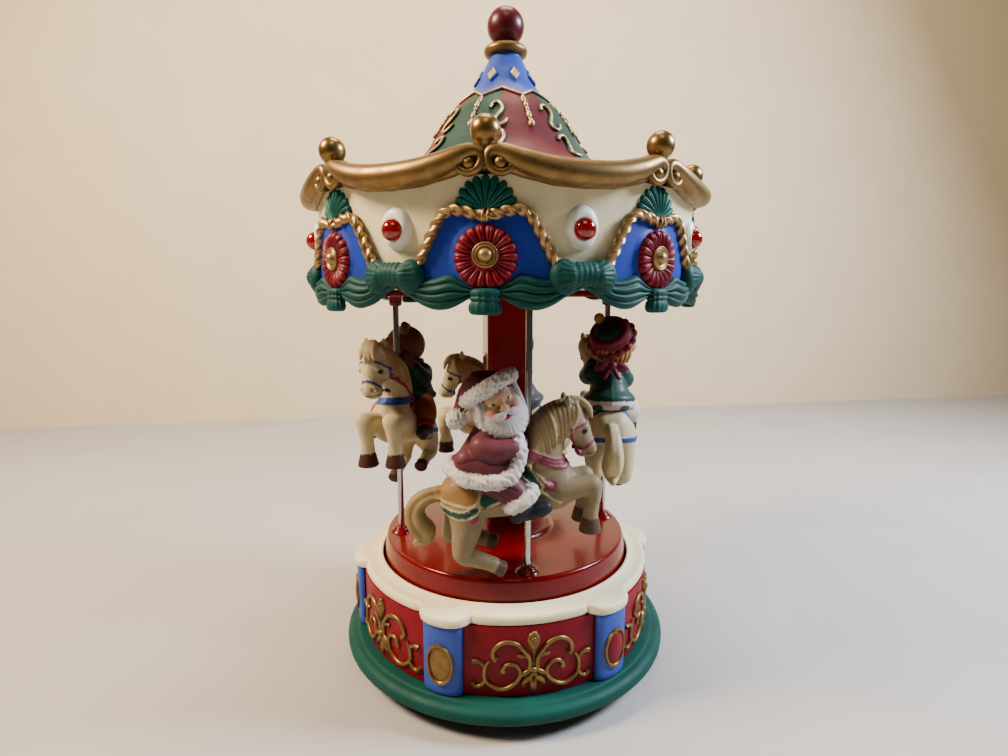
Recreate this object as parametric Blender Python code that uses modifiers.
"""Toy musical carousel, modelled at its own size as separate pieces.

Lengths in this file are millimetres and angles are degrees; the helpers turn them into metres and
radians. An azimuth is measured about +Z from the front, which faces -Y, towards +X.
"""
import math

import bmesh
import bpy
from mathutils import Matrix, Vector

MM = 0.001
GAP = 0.3

# Base
FOOT_RADIUS = 66.5
FOOT_HEIGHT = 6.7
FOOT_FLOOR = 2.5
FOOT_RIM = 4.0
HUB_RADIUS = 7.0
FLANGE_RADIUS = 79.0
FLANGE_TOP = 13.6
WALL_RADIUS = 69.8
WALL_THICKNESS = 2.5
WALL_TOP = 44.0
PILASTER_COUNT = 6
PILASTER_START = -30.0
PILASTER_HALF_WIDTH = 8.6
PILASTER_BULGE = 3.4
MEDALLION_HEIGHT = 27.4
MEDALLION_HALF = (6.0, 8.8)
RIM_RADIUS = 69.9
RIM_LOBE = 5.2
RIM_BOTTOM = WALL_TOP + GAP
RIM_HOLE = 61.0

# Turntable and what stands on it
DECK_RADIUS = 58.7
DECK_TOP = 58.2
DECK_SHELL = 3.0
DECK_SKIRT_RADIUS = 60.0
DECK_SKIRT_BOTTOM = 47.5
DECK_STEP_RADIUS = 24.0
DECK_STEP_TOP = 60.2
BOSS_RADIUS = 5.0
BOSS_HEIGHT = 2.5
COLUMN_WIDTH = 19.7
COLUMN_CORNER = 2.2

# Poles, horses and riders
POLE_COUNT = 4
POLE_START = 1.4
POLE_CIRCLE = 51.8
POLE_RADIUS = 1.4
POLE_BORE = POLE_RADIUS + GAP
POLE_BOTTOM = 22.0
POLE_TOP = 195.0
HORSE_LIFTS = (0.0, 19.0, 6.0, 18.0)
HORSE_YAWS = (3.0, 15.0, 5.0, 18.0)
HEAD_TURNS = (0.0, 7.0, 0.0, -5.0)
HORSE_SHARE = 0.024
RIDER_SHARE = 0.024

# Canopy
CANOPY_SIDES = 8
CANOPY_START = -13.6
BAY = 360.0 / CANOPY_SIDES
CEILING_BOTTOM = 173.5
CEILING_TOP = 175.5
CEILING_RADIUS = 81.6
SLEEVE_RADIUS = 3.5
SLEEVE_BOTTOM = 168.0
FASCIA_FOOT = CEILING_TOP + GAP
FASCIA_TOP = 213.3
FASCIA_THICKNESS = 2.2
LAMP_HEIGHT = 195.8
LAMP_RADIUS = 4.0
LAMP_SEAT = 85.1
LAMP_TIP = 89.5
LAMP_BOSS_HALF = (6.8, 8.5)
LAMP_BOSS_DEPTH = 3.0
ROSETTE_HEIGHT = 188.0
ROSETTE_RADIUS = 10.6
CORNICE_SAG = 4.2
BALL_RADIUS = 5.0
BALL_CIRCLE = 84.1
BALL_HEIGHT = 226.6
COLLAR_SKIN = 1.0
NECK_TOP = 278.6
FINIAL_RADIUS = 8.3
FINIAL_CENTRE = 291.6

# Outer line of the roof, from the neck down to the eaves, as (radius, height)
ROOF_LINE = [(12.9, 264.9), (16.0, 261.2), (21.7, 256.5), (26.2, 251.6), (32.2, 242.7), (37.4, 235.1),
             (43.5, 229.6), (52.0, 225.2), (64.0, 221.6), (76.0, 219.4), (82.4, 218.6)]
EAVES_BOTTOM = 216.7

# Outer line of the blue collar; its lower edge is scalloped between two distances along the last run
COLLAR_LINE = [(6.6, NECK_TOP), (7.4, 277.6), (9.5, 273.6), (11.9, 269.3), (13.9, 265.8), (17.0, 262.2),
               (20.06, 259.63)]
COLLAR_EDGE_HIGH = 1.2
COLLAR_EDGE_LOW = 7.0
ROOF_THICKNESS = 2.0

# Skeleton of a horse, as (x, y, z, radius): x runs forward from its pole, y to its left, z from the table
BARREL = [(-26.5, 0.0, 93.0, 9.4), (-14.0, 0.0, 92.5, 8.9), (0.0, 0.0, 93.5, 9.0), (10.5, 0.0, 94.2, 9.2)]
NECK = [(6.0, 0.0, 101.0, 8.6), (6.8, 0.0, 112.0, 7.8), (9.8, 0.0, 121.5, 7.2), (16.2, 0.0, 126.6, 5.8)]
HEAD = [(18.6, 0.0, 126.2, 5.6), (21.2, 0.0, 119.8, 5.2), (23.6, 0.0, 112.6, 4.3)]
TAIL = [(-33.5, 0.0, 94.0, 3.0), (-40.0, 0.0, 92.2, 3.0), (-45.6, 0.0, 89.0, 3.4),
        (-46.6, 0.0, 83.4, 3.5), (-42.6, 0.0, 79.2, 3.4), (-43.2, 0.0, 76.4, 2.2), (-47.4, 0.0, 74.9, 1.1)]
FORELEG = [(13.0, 5.0, 94.5, 5.4), (24.8, 6.2, 97.2, 4.0), (25.4, 6.2, 90.0, 3.5), (25.0, 6.2, 84.6, 3.2),
           (24.9, 6.2, 80.6, 3.6)]
HIND_LEG_RIGHT = [(-25.5, -4.6, 89.5, 7.6), (-26.2, -6.4, 79.0, 5.4), (-27.4, -6.6, 71.0, 4.2),
                  (-20.0, -6.6, 67.6, 3.5), (-15.0, -6.6, 65.4, 3.3), (-12.6, -6.6, 63.8, 3.4)]
HIND_LEG_LEFT = [(-27.0, 4.6, 88.5, 7.4), (-30.4, 6.4, 79.0, 5.0), (-31.4, 6.6, 73.6, 4.0),
                 (-22.0, 6.6, 72.2, 3.4), (-17.0, 6.6, 70.9, 3.2), (-14.6, 6.6, 69.8, 3.4)]

# Skeleton that the riders share: the legs straddle the horse and the hands reach for the pole
RIDER_TORSO = [(-20.0, 0.0, 106.0, 10.6), (-18.5, 0.0, 113.5, 9.4), (-16.5, 0.0, 119.0, 7.6)]
RIDER_LEG = [(-17.0, 7.0, 103.0, 6.4), (-6.4, 11.2, 100.6, 5.4), (-4.8, 11.8, 94.4, 4.8),
             (-4.4, 12.0, 89.6, 3.6), (3.2, 12.0, 89.4, 3.0)]
RIDER_BOOT_HEEL = [(-5.4, 12.0, 88.2, 3.6), (3.0, 12.0, 89.2, 3.2)]
RIGHT_ARM = [(-15.5, -8.0, 116.0, 4.6), (-9.0, -10.4, 111.6, 4.4), (-4.8, -7.4, 114.4, 4.4),
             (-3.6, -3.6, 116.8, 2.8)]
LEFT_ARM = [(-15.5, 8.0, 117.0, 4.6), (-9.0, 9.6, 115.0, 4.2), (-4.6, 5.8, 121.0, 3.8),
            (-2.6, 2.6, 126.4, 2.8)]

COLOURS = {
    "red": ("#8E1220", 0.42, 0.0),
    "gloss red": ("#A01418", 0.12, 0.0),
    "deep red": ("#5A0A10", 0.25, 0.0),
    "green": ("#14503F", 0.50, 0.0),
    "roof green": ("#2F5F4E", 0.50, 0.0),
    "blue": ("#3A5FC4", 0.45, 0.0),
    "cream": ("#E8E0C4", 0.40, 0.0),
    "gold": ("#A07A34", 0.35, 0.6),
    "lamp red": ("#B00008", 0.08, 0.0),
    "steel": ("#B8B8B4", 0.22, 1.0),
    "tan": ("#A88F66", 0.55, 0.0),
    "horse cream": ("#D8CBA0", 0.55, 0.0),
    "coat red": ("#7E3A46", 0.60, 0.0),
    "doll green": ("#1F4A3C", 0.55, 0.0),
    "penguin grey": ("#3A3A40", 0.50, 0.0),
    "bear brown": ("#7A4220", 0.60, 0.0),
}

parts = bpy.data.collections.new("toy_carousel")
cutters = bpy.data.collections.new("cutters")


def clear_scene():
    """Remove every object, so that the script gives the same result each time."""
    for item in list(bpy.data.objects):
        bpy.data.objects.remove(item, do_unlink=True)
    for group in (parts, cutters):
        bpy.context.scene.collection.children.link(group)


def material(name):
    """Return the named paint or metal, made once."""
    if name in bpy.data.materials:
        return bpy.data.materials[name]
    code, roughness, metallic = COLOURS[name]
    channels = [int(code[i:i + 2], 16) / 255.0 for i in (1, 3, 5)]
    linear = [c / 12.92 if c <= 0.04045 else ((c + 0.055) / 1.055) ** 2.4 for c in channels]
    made = bpy.data.materials.new(name)
    made.use_nodes = True
    shader = made.node_tree.nodes["Principled BSDF"]
    shader.inputs["Base Color"].default_value = (*linear, 1.0)
    shader.inputs["Roughness"].default_value = roughness
    shader.inputs["Metallic"].default_value = metallic
    return made


def polar(radius, azimuth, height):
    """Return the point at a radius, azimuth and height, in metres."""
    angle = math.radians(azimuth)
    return Vector((radius * math.sin(angle), -radius * math.cos(angle), height)) * MM


def smooth_step(low, high, value):
    """Return 0 below low, 1 above high, and a smooth rise between them."""
    t = min(max((value - low) / (high - low), 0.0), 1.0)
    return t * t * (3.0 - 2.0 * t)


def add_object(name, mesh, group=parts, paint=None, parent=None):
    """Link a new object that holds the mesh."""
    item = bpy.data.objects.new(name, mesh)
    group.objects.link(item)
    item.parent = parent
    if paint and not mesh.materials:
        mesh.materials.append(material(paint))
    if group is cutters:
        item.hide_render = True
        item.display_type = "WIRE"
    return item


def add_axis(name, location=(0.0, 0.0, 0.0), turn=0.0, parent=None):
    """Add the empty that stands on a joint's axis and carries its pieces."""
    axis = bpy.data.objects.new(name, None)
    parts.objects.link(axis)
    axis.parent = parent
    axis.location = location
    axis.rotation_euler = (0.0, 0.0, math.radians(turn))
    axis.empty_display_size = 0.01
    return axis


def mesh_of(name, build):
    """Return a mesh that the build function fills through bmesh."""
    mesh = bpy.data.meshes.new(name)
    bm = bmesh.new()
    build(bm)
    bm.to_mesh(mesh)
    bm.free()
    return mesh


def settled(item):
    """Return the object's mesh with its modifiers applied, and remove the object."""
    bpy.context.view_layer.update()
    graph = bpy.context.evaluated_depsgraph_get()
    mesh = bpy.data.meshes.new_from_object(item.evaluated_get(graph), depsgraph=graph)
    bpy.data.objects.remove(item, do_unlink=True)
    return mesh


def turned(name, profile, steps, paint, parent=None, ring=True, group=parts):
    """Turn a profile of (radius, height) points about Z; a ring's profile is a closed loop."""
    mesh = bpy.data.meshes.new(name)
    count = len(profile)
    edges = [(i, i + 1) for i in range(count - 1)] + ([(count - 1, 0)] if ring else [])
    mesh.from_pydata([(r * MM, 0.0, z * MM) for r, z in profile], edges, [])
    item = add_object(name, mesh, group, paint, parent)
    turn = item.modifiers.new("turn", "SCREW")
    turn.steps = turn.render_steps = steps
    turn.use_merge_vertices = True
    turn.merge_threshold = 0.00001
    turn.use_smooth_shade = False
    return item


def turned_and_shaped(name, profile, steps, paint, shape, parent=None):
    """Turn a ring, then move each point by shape(radius, azimuth, height)."""
    mesh = settled(turned(name, profile, steps, paint))
    for point in mesh.vertices:
        x, y, z = point.co / MM
        azimuth = math.degrees(math.atan2(x, -y))
        radius, height = shape(math.hypot(x, y), azimuth, z)
        point.co = polar(radius, azimuth, height)
    return add_object(name, mesh, parts, paint, parent)


def shell_profile(line, thickness):
    """Return a closed profile: the line, and the same line moved inwards by the thickness."""
    inner = []
    for i, (radius, height) in enumerate(line):
        before = line[max(i - 1, 0)]
        after = line[min(i + 1, len(line) - 1)]
        run = Vector((after[0] - before[0], after[1] - before[1])).normalized()
        inner.append((radius + run.y * thickness, height - run.x * thickness))
    return line + inner[::-1]


def cut(item, cutter, operation="DIFFERENCE"):
    """Add an exact boolean to the object."""
    boolean = item.modifiers.new(operation.lower(), "BOOLEAN")
    boolean.operation = operation
    boolean.solver = "EXACT"
    boolean.object = cutter
    return boolean


def cylinder(bm, radius, depth, matrix, sides=16, top_radius=None):
    """Add a capped cylinder or cone whose axis is the matrix's Z."""
    bmesh.ops.create_cone(bm, cap_ends=True, segments=sides, radius1=radius * MM,
                          radius2=(radius if top_radius is None else top_radius) * MM,
                          depth=depth * MM, matrix=matrix)


def outward(radius, azimuth, height):
    """Return the frame at a point whose Z points away from the axis and whose Y is up."""
    angle = math.radians(azimuth)
    normal = Vector((math.sin(angle), -math.cos(angle), 0.0))
    up = Vector((0.0, 0.0, 1.0))
    side = up.cross(normal)
    frame = Matrix((side, up, normal)).transposed().to_4x4()
    return Matrix.Translation(polar(radius, azimuth, height)) @ frame


def bay_offset(azimuth):
    """Return the distance in degrees from the nearest ball finial."""
    return (azimuth + BAY / 2) % BAY - BAY / 2


def build_base(axis):
    """Foot, flange, drum wall, pilasters and rim plate."""
    hub_top = DECK_TOP - DECK_SHELL - GAP
    turned("foot_pan", [(0.0, hub_top), (HUB_RADIUS, hub_top), (HUB_RADIUS, FOOT_FLOOR),
                        (FOOT_RADIUS - FOOT_RIM, FOOT_FLOOR), (FOOT_RADIUS - FOOT_RIM, FOOT_HEIGHT),
                        (FOOT_RADIUS, FOOT_HEIGHT), (FOOT_RADIUS, 1.2), (FOOT_RADIUS - 1.0, 0.0),
                        (0.0, 0.0)], 36, "red", axis, ring=False)
    flange_bottom = FOOT_HEIGHT + GAP
    inner = FOOT_RADIUS - FOOT_RIM
    turned("base_flange", [(inner, FLANGE_TOP), (74.8, FLANGE_TOP), (77.0, 12.9), (78.5, 11.6),
                           (FLANGE_RADIUS, 10.0), (FLANGE_RADIUS, 8.2), (78.0, flange_bottom),
                           (inner, flange_bottom)], 48, "green", axis)
    wall_foot = FLANGE_TOP + GAP
    turned("drum_wall", [(WALL_RADIUS, WALL_TOP), (WALL_RADIUS, wall_foot),
                         (WALL_RADIUS - WALL_THICKNESS, wall_foot),
                         (WALL_RADIUS - WALL_THICKNESS, WALL_TOP)], 48, "red", axis)
    build_pilasters(axis, wall_foot)
    build_rim_plate(axis)


def build_pilasters(axis, foot):
    """Six half-round pilasters, each with its oval medallion seat, against the drum wall."""
    back = WALL_RADIUS + GAP
    half_angle = math.degrees(PILASTER_HALF_WIDTH / back)
    outline = [(back, half_angle * (i / 2 - 1.0)) for i in range(5)]
    for i in range(7):
        swing = math.radians(30.0 * i)
        across = half_angle * 0.98 * math.cos(swing)
        outline.append((back + 0.5 + PILASTER_BULGE * math.sin(swing) ** 0.7, across))

    for k in range(PILASTER_COUNT):
        azimuth = PILASTER_START + 360.0 / PILASTER_COUNT * k
        curve = bpy.data.curves.new("pilaster plan", "CURVE")
        curve.dimensions = "2D"
        curve.fill_mode = "BOTH"
        curve.extrude = (WALL_TOP - foot) / 2 * MM
        spline = curve.splines.new("POLY")
        spline.points.add(len(outline) - 1)
        for point, (radius, across) in zip(spline.points, outline):
            point.co = (*polar(radius, across, 0.0), 1.0)
        spline.use_cyclic_u = True
        plan = bpy.data.objects.new("pilaster plan", curve)
        parts.objects.link(plan)
        mesh = settled(plan)
        weld(mesh)
        pilaster = add_object(f"pilaster_{k + 1}", mesh, parts, "blue", axis)
        pilaster.location.z = (WALL_TOP + foot) / 2 * MM
        pilaster.rotation_euler.z = math.radians(azimuth)
        medallion = add_object(f"medallion_{k + 1}", mesh_of("medallion", add_medallion), cutters)
        medallion.parent = axis
        medallion.rotation_euler.z = math.radians(azimuth)
        cut(pilaster, medallion, "UNION")


def add_medallion(bm):
    """Add the oval seat of a pilaster's medallion, at azimuth 0."""
    frame = outward(WALL_RADIUS + PILASTER_BULGE + 0.4, 0.0, MEDALLION_HEIGHT)
    cylinder(bm, 1.0, 1.6, frame @ Matrix.Diagonal((*MEDALLION_HALF, 1.0, 1.0)), 16, 0.9)


def weld(mesh):
    """Join the loose caps of a mesh that came from a curve and turn its faces outwards."""
    bm = bmesh.new()
    bm.from_mesh(mesh)
    bmesh.ops.remove_doubles(bm, verts=bm.verts, dist=0.000005)
    bmesh.ops.recalc_face_normals(bm, faces=bm.faces)
    bm.to_mesh(mesh)
    bm.free()


def build_rim_plate(axis):
    """The plate that closes the drum, with a rounded lobe over each pilaster."""
    profile = [(RIM_HOLE, 49.4), (62.4, 49.4), (63.2, 48.4), (66.0, 48.3), (68.4, 48.5), (69.7, 47.4),
               (RIM_RADIUS, 46.0), (69.0, RIM_BOTTOM), (66.0, RIM_BOTTOM), (RIM_HOLE, 46.4)]

    def lobed(radius, azimuth, height):
        pitch = 360.0 / PILASTER_COUNT
        offset = abs((azimuth - PILASTER_START + pitch / 2) % pitch - pitch / 2)
        reach = 1.0 - smooth_step(5.0, 10.0, offset)
        return radius + RIM_LOBE * reach * smooth_step(66.2, 69.0, radius), height

    turned_and_shaped("rim_plate", profile, 72, "cream", lobed, axis)


def build_turntable(axis):
    """The glossy deck with its middle step, four bosses and the pole holes."""
    under = DECK_TOP - DECK_SHELL
    deck = turned("turntable", [(0.0, DECK_STEP_TOP), (DECK_STEP_RADIUS - 0.8, DECK_STEP_TOP),
                                (DECK_STEP_RADIUS, DECK_TOP), (DECK_RADIUS - 0.8, DECK_TOP),
                                (DECK_RADIUS, DECK_TOP - 0.7), (59.9, 50.1),
                                (DECK_SKIRT_RADIUS, DECK_SKIRT_BOTTOM),
                                (DECK_SKIRT_RADIUS - 2.6, DECK_SKIRT_BOTTOM),
                                (DECK_RADIUS - 2.6, under), (0.0, under)],
                  40, "gloss red", axis, ring=False)
    height = BOSS_HEIGHT + 1.0

    def bosses(bm):
        for k in range(POLE_COUNT):
            centre = polar(POLE_CIRCLE, 90.0 * k, DECK_TOP - 1.0 + height / 2)
            cylinder(bm, BOSS_RADIUS, height, Matrix.Translation(centre), 14, BOSS_RADIUS - 1.8)

    holes = add_object("deck_holes", mesh_of("deck holes", add_pole_bores), cutters, None, axis)
    raised = add_object("deck_bosses", mesh_of("deck bosses", bosses), cutters, None, axis)
    cut(deck, raised, "UNION")
    cut(deck, holes)
    return holes


def add_pole_bores(bm):
    """Add the four bores that the poles slide in, from the base to the roof."""
    for k in range(POLE_COUNT):
        middle = (POLE_BOTTOM + POLE_TOP) / 2
        centre = polar(POLE_CIRCLE, 90.0 * k, middle)
        cylinder(bm, POLE_BORE, POLE_TOP - POLE_BOTTOM + 60.0, Matrix.Translation(centre), 10)


def build_column(axis):
    """The square centre column between the deck and the ceiling."""
    height = CEILING_BOTTOM - DECK_STEP_TOP - 2 * GAP
    mesh = mesh_of("centre_column", lambda bm: bmesh.ops.create_cube(
        bm, size=1.0, matrix=Matrix.Diagonal((COLUMN_WIDTH * MM, COLUMN_WIDTH * MM, height * MM, 1.0))))
    column = add_object("centre_column", mesh, parts, "deep red", axis)
    column.location.z = (DECK_STEP_TOP + GAP + height / 2) * MM
    bevel = column.modifiers.new("corners", "BEVEL")
    bevel.width = COLUMN_CORNER * MM
    bevel.segments = 2
    bevel.limit_method = "WEIGHT"
    weights = mesh.attributes.new("bevel_weight_edge", "FLOAT", "EDGE")
    for edge in mesh.edges:
        ends = [mesh.vertices[v].co for v in edge.vertices]
        weights.data[edge.index].value = 1.0 if abs(ends[0].z - ends[1].z) > 0.001 else 0.0


def build_ceiling(axis, holes):
    """The canopy floor with the four sleeves that guide the poles."""
    ceiling = turned("canopy_ceiling", [(0.0, CEILING_TOP), (CEILING_RADIUS, CEILING_TOP),
                                        (CEILING_RADIUS, CEILING_BOTTOM), (0.0, CEILING_BOTTOM)],
                     48, "gloss red", axis, ring=False)
    depth = CEILING_BOTTOM - SLEEVE_BOTTOM + 1.0

    def sleeves(bm):
        for k in range(POLE_COUNT):
            centre = polar(POLE_CIRCLE, 90.0 * k, SLEEVE_BOTTOM + depth / 2)
            cylinder(bm, SLEEVE_RADIUS - 0.3, depth, Matrix.Translation(centre), 14, SLEEVE_RADIUS)

    guides = add_object("guide_sleeves", mesh_of("guide sleeves", sleeves), cutters, None, axis)
    cut(ceiling, guides, "UNION")
    cut(ceiling, holes)


def build_fascia(axis):
    """The cream band of the canopy with a raised oval under each lamp."""
    line = [(84.2, FASCIA_TOP), (83.2, 203.0), (82.6, 190.0), (82.2, FASCIA_FOOT)]
    fascia = turned("fascia_shell", line + [(r - FASCIA_THICKNESS, z) for r, z in line[::-1]],
                    48, "cream", axis)

    def bosses(bm):
        for k in range(CANOPY_SIDES):
            frame = outward(LAMP_SEAT - GAP - LAMP_BOSS_DEPTH / 2, BAY * (k + 0.5), LAMP_HEIGHT)
            oval = Matrix.Diagonal((*LAMP_BOSS_HALF, 1.0, 1.0))
            cylinder(bm, 1.0, LAMP_BOSS_DEPTH, frame @ oval, 12, 0.8)

    raised = add_object("lamp_bosses", mesh_of("lamp bosses", bosses), cutters, None, axis)
    cut(fascia, raised, "UNION")
    lamp = mesh_of("jewel_lamp", add_lamp)
    for k in range(CANOPY_SIDES):
        item = add_object(f"jewel_lamp_{k + 1}", lamp, parts, "lamp red", axis)
        item.matrix_local = outward(LAMP_SEAT, BAY * (k + 0.5), LAMP_HEIGHT)


def add_lamp(bm):
    """Add a domed lamp that stands on the plane z = 0."""
    bmesh.ops.create_uvsphere(bm, u_segments=10, v_segments=6, radius=LAMP_RADIUS * MM)
    reach = (LAMP_TIP - LAMP_SEAT) / LAMP_RADIUS
    bmesh.ops.scale(bm, vec=(1.0, 1.0, reach), verts=bm.verts)
    low = bmesh.ops.bisect_plane(bm, geom=bm.verts[:] + bm.edges[:] + bm.faces[:], dist=0.0000001,
                                 plane_co=(0, 0, 0), plane_no=(0, 0, -1), clear_outer=True)
    rim = [item for item in low["geom_cut"] if isinstance(item, bmesh.types.BMEdge)]
    bmesh.ops.contextual_create(bm, geom=rim)


def build_valance(axis):
    """The green drapery: swags, bows between the bays and a tassel under each rosette."""
    profile = [(82.9, 186.0), (84.6, 186.0), (85.4, 182.0), (85.0, 177.0), (84.4, 172.0),
               (82.9, 169.0), (82.5, 176.0)]

    def draped(radius, azimuth, height):
        offset = abs(bay_offset(azimuth))
        bow = smooth_step(15.0, 18.0, offset)
        top = 177.0 + 7.0 * smooth_step(2.0, 18.0, offset) + 2.4 * bow
        if offset < 11.0:
            bottom = 169.0 + 2.0 * ((11.0 - offset) / 11.0) ** 2
        else:
            bottom = 169.0 + 6.4 * ((offset - 11.0) / 11.5) ** 2
        if offset < 1.0:
            bottom = 167.5
        share = (height - 169.0) / (186.0 - 169.0)
        swell = bow * 2.2 if radius > 84.0 else 0.0
        pinch = 0.9 * smooth_step(20.0, 22.5, offset) if radius > 84.0 else 0.0
        return radius + swell - pinch, bottom + (top - bottom) * share

    turned_and_shaped("valance_ring", profile, 64, "green", draped, axis)


def build_arches(axis):
    """The blue arch panels, each with its rope edge and rosette."""
    rope_path = [(14.6, 188.2), (13.8, 191.2), (12.6, 194.4), (10.8, 199.0), (8.0, 201.6),
                 (4.0, 200.8), (0.0, 199.8)]
    path = rope_path + [(-a, z) for a, z in rope_path[-2::-1]]
    columns = 8

    def sheet(bm):
        bmesh.ops.create_grid(bm, x_segments=columns, y_segments=2, size=1.0)
        for point in bm.verts:
            azimuth = point.co.x * 14.0
            crown = arch_height(rope_path, abs(azimuth))
            foot = 178.5 + 6.0 * smooth_step(2.0, 18.0, abs(azimuth)) + GAP
            share = (point.co.y + 1.0) / 2
            point.co = polar(83.55, azimuth, foot + (crown - foot) * share)

    plate = add_object("arch plate", mesh_of("arch plate", sheet), parts, "blue")
    skin = plate.modifiers.new("thickness", "SOLIDIFY")
    skin.thickness = 1.0 * MM
    skin.offset = 1.0
    mesh = settled(plate)
    weld(mesh)

    rope = bpy.data.curves.new("rope", "CURVE")
    rope.dimensions = "3D"
    rope.bevel_depth = 1.5 * MM
    rope.bevel_resolution = 0
    rope.use_fill_caps = True
    spline = rope.splines.new("POLY")
    spline.points.add(len(path) - 1)
    for point, (azimuth, height) in zip(spline.points, path):
        point.co = (*polar(85.2, azimuth, height), 1.0)
    cord = bpy.data.objects.new("rope", rope)
    parts.objects.link(cord)
    rope_mesh = settled(cord)
    weld(rope_mesh)
    trim = add_object("arch_rope", rope_mesh, cutters)
    rosette = add_object("arch_rosette", mesh_of("arch rosette", add_rosette), cutters)
    master = add_object("arch master", mesh, parts, "blue")
    cut(master, trim, "UNION")
    cut(master, rosette, "UNION")
    mesh = settled(master)
    mesh.name = "arch_panel"
    for k in range(CANOPY_SIDES):
        panel = add_object(f"arch_panel_{k + 1}", mesh, parts, "blue", axis)
        panel.rotation_euler.z = math.radians(BAY * k)


def arch_height(path, offset):
    """Return the height of the arch's edge at an angle from its middle."""
    for (far, low), (near, high) in zip(path, path[1:]):
        if near <= offset <= far:
            return low + (high - low) * (far - offset) / (far - near)
    return path[0][1]


def add_rosette(bm):
    """Add the flower disc and its domed centre, at azimuth 0."""
    disc = outward(85.3, 0.0, ROSETTE_HEIGHT)
    cylinder(bm, ROSETTE_RADIUS, 2.4, disc, 16, ROSETTE_RADIUS - 1.2)
    centre = outward(87.0, 0.0, ROSETTE_HEIGHT)
    cylinder(bm, 4.2, 1.4, centre, 8, 2.6)


def build_cornice(axis):
    """The gold roll that sags between the ball finials, with a scroll at each side of them."""
    line = [(80.4, 216.3), (83.6, 216.3), (84.4, 217.2), (86.4, 218.6), (88.9, 217.9), (90.6, 215.6),
            (90.6, 213.0), (88.8, 210.2), (86.0, 209.0), (84.6, 209.6), (84.4, FASCIA_TOP + GAP),
            (80.4, FASCIA_TOP + GAP)]

    def draped(radius, azimuth, height):
        lift = (1.0 + math.cos(math.radians(CANOPY_SIDES * azimuth))) / 2
        if radius < 84.0 or (radius < 84.5 and height < 214.0):
            return radius, height
        squeeze = (radius - 84.4) * (1.0 - 0.42 * lift)
        return 84.4 + squeeze, height + min(CORNICE_SAG, 4.1) * lift

    cornice = turned_and_shaped("cornice_ring", line, 64, "gold", draped, axis)

    def balls(bm):
        for k in range(CANOPY_SIDES):
            centre = Matrix.Translation(polar(BALL_CIRCLE, BAY * k, BALL_HEIGHT))
            bmesh.ops.create_uvsphere(bm, u_segments=10, v_segments=7, radius=BALL_RADIUS * MM,
                                      matrix=centre)

    def scrolls(bm):
        for k in range(CANOPY_SIDES):
            for side in (-1, 1):
                frame = outward(86.6, BAY * k + side * 3.1, 216.4)
                cylinder(bm, 4.0, 4.4, frame, 10, 3.2)

    finials = add_object("ball_finials", mesh_of("ball finials", balls), cutters, None, axis)
    curls = add_object("scroll_curls", mesh_of("scroll curls", scrolls), cutters, None, axis)
    cut(cornice, finials, "UNION")
    cut(cornice, curls, "UNION")


def build_roof(axis):
    """The gored roof, its blue collar, the gold ring and the ball on top."""
    eaves = ROOF_LINE[-1][0]
    profile = shell_profile(ROOF_LINE, ROOF_THICKNESS)
    outer = profile[:len(ROOF_LINE)] + [(eaves, EAVES_BOTTOM)]
    inner = [(eaves - 1.8, EAVES_BOTTOM)] + profile[len(ROOF_LINE) + 1:]
    turned("roof_shell", outer + inner, 32, "roof green", axis)

    profile = shell_profile(COLLAR_LINE, COLLAR_SKIN)
    inner = profile[len(COLLAR_LINE):-1]
    line = [(0.0, NECK_TOP)] + COLLAR_LINE + inner + [(0.0, NECK_TOP - 2.4)]
    mesh = settled(turned("roof_collar", line, 32, "blue", ring=False))
    low = COLLAR_LINE[-1]
    start = COLLAR_LINE[-2]
    run = Vector((low[0] - start[0], low[1] - start[1]))
    along = run.normalized()
    for point in mesh.vertices:
        x, y, z = point.co / MM
        if z < low[1] + 0.5:
            azimuth = math.degrees(math.atan2(x, -y))
            dip = (1.0 - math.cos(math.radians(CANOPY_SIDES * azimuth))) / 2
            reach = COLLAR_EDGE_HIGH + (COLLAR_EDGE_LOW - COLLAR_EDGE_HIGH) * dip - run.length
            point.co = polar(math.hypot(x, y) + along.x * reach, azimuth, z + along.y * reach)
    add_object("roof_collar", mesh, parts, "blue", axis)

    ring_foot = NECK_TOP + GAP
    turned("collar_ring", [(0.0, 283.2), (7.8, 283.2), (9.3, 282.4), (9.8, 281.1), (9.3, 279.7),
                           (8.0, ring_foot), (0.0, ring_foot)], 24, "gold", axis, ring=False)
    turned("top_finial", ball_profile(FINIAL_CENTRE, FINIAL_RADIUS, 283.5), 20, "deep red", axis,
           ring=False)


def ball_profile(centre, radius, foot):
    """Return the profile of a ball that stands on a short neck."""
    neck = 3.4
    line = [(0.0, centre + radius)]
    for i in range(1, 10):
        angle = math.radians(17.0 * i)
        line.append((radius * math.sin(angle), centre + radius * math.cos(angle)))
    return line + [(neck, foot), (0.0, foot)]


def chain(bm, points, flat=1.0):
    """Add balls and tapered rods through the points; flat squeezes them sideways."""
    first = len(bm.verts)
    for x, y, z, radius in points:
        bmesh.ops.create_icosphere(bm, subdivisions=2, radius=radius * MM,
                                   matrix=Matrix.Translation(Vector((x, y, z)) * MM))
    for start, end in zip(points, points[1:]):
        a = Vector(start[:3])
        b = Vector(end[:3])
        turn = (b - a).to_track_quat("Z", "Y").to_matrix().to_4x4()
        cylinder(bm, start[3], (b - a).length, Matrix.Translation((a + b) / 2 * MM) @ turn, 14, end[3])
    bm.verts.ensure_lookup_table()
    for point in bm.verts[first:]:
        point.co.y *= flat


def ellipsoid(bm, centre, radii, tilt=0.0):
    """Add an ellipsoid, tilted about the sideways axis."""
    place = Matrix.Translation(Vector(centre) * MM) @ Matrix.Rotation(math.radians(tilt), 4, "Y")
    bmesh.ops.create_icosphere(bm, subdivisions=3, radius=MM, matrix=place @ Matrix.Diagonal((*radii, 1.0)))


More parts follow.
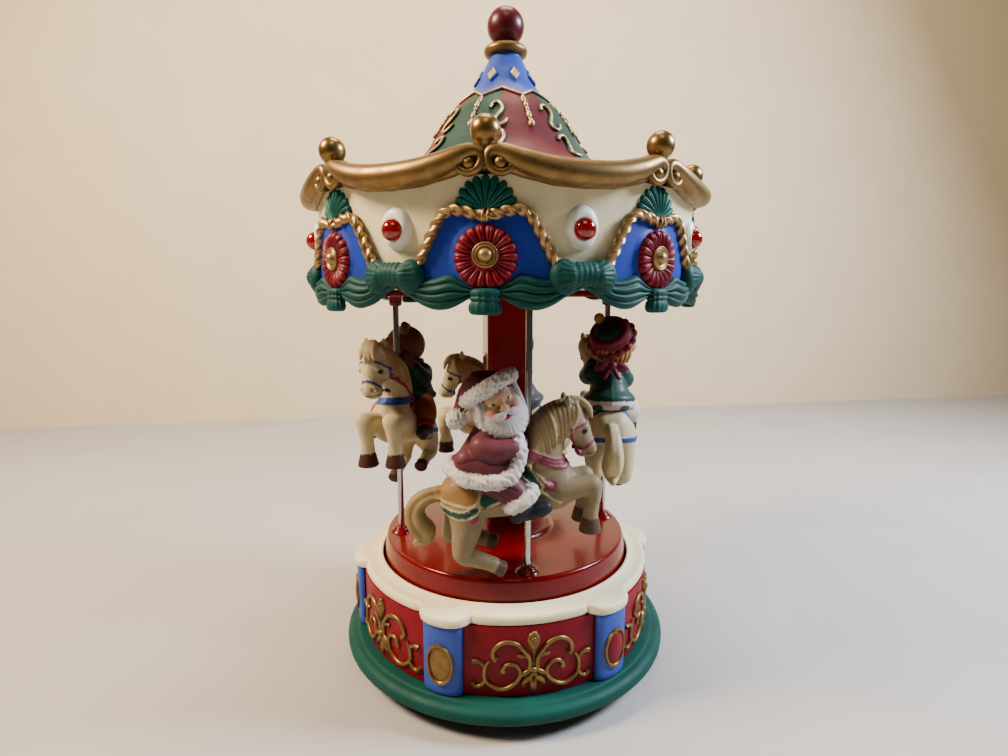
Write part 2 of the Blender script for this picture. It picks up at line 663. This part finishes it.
def mirrored(points):
    """Return the points on the other side of the horse."""
    return [(x, -y, z, radius) for x, y, z, radius in points]


def turned_head(points, turn):
    """Swing the points of the neck and head sideways, more the higher and further forward."""
    moved = []
    for x, y, z, radius in points:
        share = smooth_step(104.0, 130.0, z + (x - 16.0) * 1.2)
        moved.append((x, y + turn * share, z, radius))
    return moved


def add_horse(turn):
    """Return the function that fills a bmesh with a jumping horse."""
    def build(bm):
        chain(bm, BARREL)
        chain(bm, turned_head(NECK, turn), 1.0)
        chain(bm, turned_head(HEAD, turn))
        chain(bm, TAIL)
        chain(bm, FORELEG)
        chain(bm, mirrored(FORELEG))
        chain(bm, HIND_LEG_RIGHT)
        chain(bm, HIND_LEG_LEFT)
    return build


def shared_rider(bm):
    """Add the torso, legs and arms that every rider has."""
    chain(bm, RIDER_TORSO)
    chain(bm, RIDER_LEG)
    chain(bm, mirrored(RIDER_LEG))
    chain(bm, RIDER_BOOT_HEEL)
    chain(bm, mirrored(RIDER_BOOT_HEEL))
    chain(bm, RIGHT_ARM)
    chain(bm, LEFT_ARM)
    ellipsoid(bm, (-19.0, 0.0, 104.2), (14.2, 12.6, 4.6), 8.0)


def add_bearded(bm):
    """Add a bearded rider with a pompom cap, looking to his right."""
    shared_rider(bm)
    ellipsoid(bm, (-14.0, -0.5, 131.0), (10.2, 9.8, 10.4))
    ellipsoid(bm, (-12.0, -4.0, 123.6), (8.6, 7.0, 7.0))
    ellipsoid(bm, (-15.8, 1.0, 136.4), (11.0, 10.4, 8.8), 20.0)
    chain(bm, [(-22.0, 1.5, 136.0, 6.0), (-27.5, 1.0, 130.5, 4.2), (-30.4, -0.5, 125.6, 3.2)])


def add_doll(bm):
    """Add a rider in a frilled bonnet."""
    shared_rider(bm)
    ellipsoid(bm, (-14.0, 0.0, 131.0), (9.0, 9.0, 9.6))
    ellipsoid(bm, (-15.5, 0.5, 135.2), (11.6, 11.4, 8.4), 24.0)
    ellipsoid(bm, (-19.0, 2.4, 142.2), (3.0, 3.0, 3.0))


def add_penguin(bm):
    """Add a round-headed bird with a scarf."""
    shared_rider(bm)
    ellipsoid(bm, (-15.8, 0.0, 128.0), (9.4, 9.4, 8.0))
    ellipsoid(bm, (-15.6, 0.0, 138.8), (9.8, 9.8, 10.0))
    chain(bm, [(-14.6, -9.0, 137.6, 2.6), (-14.0, -12.4, 136.8, 1.2)])


def add_bear(bm):
    """Add a teddy bear with round ears."""
    shared_rider(bm)
    ellipsoid(bm, (-14.0, 0.0, 131.0), (10.4, 10.2, 9.8))
    ellipsoid(bm, (-12.6, -8.4, 128.6), (4.4, 3.6, 3.8))
    ellipsoid(bm, (-8.4, 0.6, 139.6), (3.2, 2.2, 3.2))
    ellipsoid(bm, (-20.6, 0.6, 139.0), (3.2, 2.2, 3.2))


def sculpted(name, build, ratio, group=parts):
    """Fuse the overlapping solids that build adds into one light, closed skin."""
    item = add_object(name, mesh_of(name, build), group)
    fuse = item.modifiers.new("fuse", "REMESH")
    fuse.mode = "VOXEL"
    fuse.voxel_size = 1.0 * MM
    soften = item.modifiers.new("soften", "SMOOTH")
    soften.factor = 0.5
    soften.iterations = 4
    thin = item.modifiers.new("thin", "DECIMATE")
    thin.ratio = ratio
    thin.use_collapse_triangulate = True
    mesh = settled(item)
    weld(mesh)
    return mesh


def build_rides(carousel_axis):
    """The four poles, each with its horse and rider, on axes that slide up and down."""
    riders = (("bearded_rider", add_bearded, "coat red"), ("doll_rider", add_doll, "doll green"),
              ("penguin_rider", add_penguin, "penguin grey"), ("bear_rider", add_bear, "bear brown"))
    bore_mesh = mesh_of("pole bore", lambda bm: cylinder(
        bm, POLE_BORE, 160.0, Matrix.Translation(Vector((0.0, 0.0, 110.0)) * MM), 10))
    for k, (rider_name, add_rider, rider_paint) in enumerate(riders):
        azimuth = POLE_START + 90.0 * k
        place = polar(POLE_CIRCLE, azimuth, HORSE_LIFTS[k])
        slide = add_axis(f"slide_{k + 1}", place, azimuth - HORSE_YAWS[k], carousel_axis)

        pole = mesh_of("pole", lambda bm: cylinder(bm, POLE_RADIUS, POLE_TOP - POLE_BOTTOM,
                                                   Matrix.Identity(4), 12))
        rod = add_object(f"pole_{k + 1}", pole, parts, "steel", slide)
        rod.location.z = (POLE_TOP + POLE_BOTTOM) / 2 * MM

        bore = add_object(f"pole_bore_{k + 1}", bore_mesh, cutters, None, slide)
        skin = sculpted(f"horse skin {k + 1}", add_horse(HEAD_TURNS[k]), HORSE_SHARE)
        paint = "tan" if k == 0 else "horse cream"
        horse = add_object(f"horse_{k + 1}", skin, parts, paint, slide)
        cut(horse, bore)

        seat = add_object(f"seat_cutter_{k + 1}", skin.copy(), cutters, None, slide)
        swell = seat.modifiers.new("clearance", "DISPLACE")
        swell.strength = 0.45 * MM
        swell.mid_level = 0.0
        rider_skin = sculpted(f"rider skin {k + 1}", add_rider, RIDER_SHARE)
        rider = add_object(rider_name, rider_skin, parts, rider_paint, slide)
        cut(rider, seat)
        cut(rider, bore)


def build_all():
    """Build the whole toy."""
    clear_scene()
    base_axis = add_axis("base_axis")
    spin_axis = add_axis("carousel_spin_axis")
    ride_frame = add_axis("ride_frame", turn=POLE_START, parent=spin_axis)
    canopy_frame = add_axis("canopy_frame", turn=CANOPY_START, parent=spin_axis)
    build_base(base_axis)
    holes = build_turntable(ride_frame)
    build_column(ride_frame)
    build_ceiling(ride_frame, holes)
    build_fascia(canopy_frame)
    build_valance(canopy_frame)
    build_arches(canopy_frame)
    build_cornice(canopy_frame)
    build_roof(canopy_frame)
    build_rides(spin_axis)


build_all()
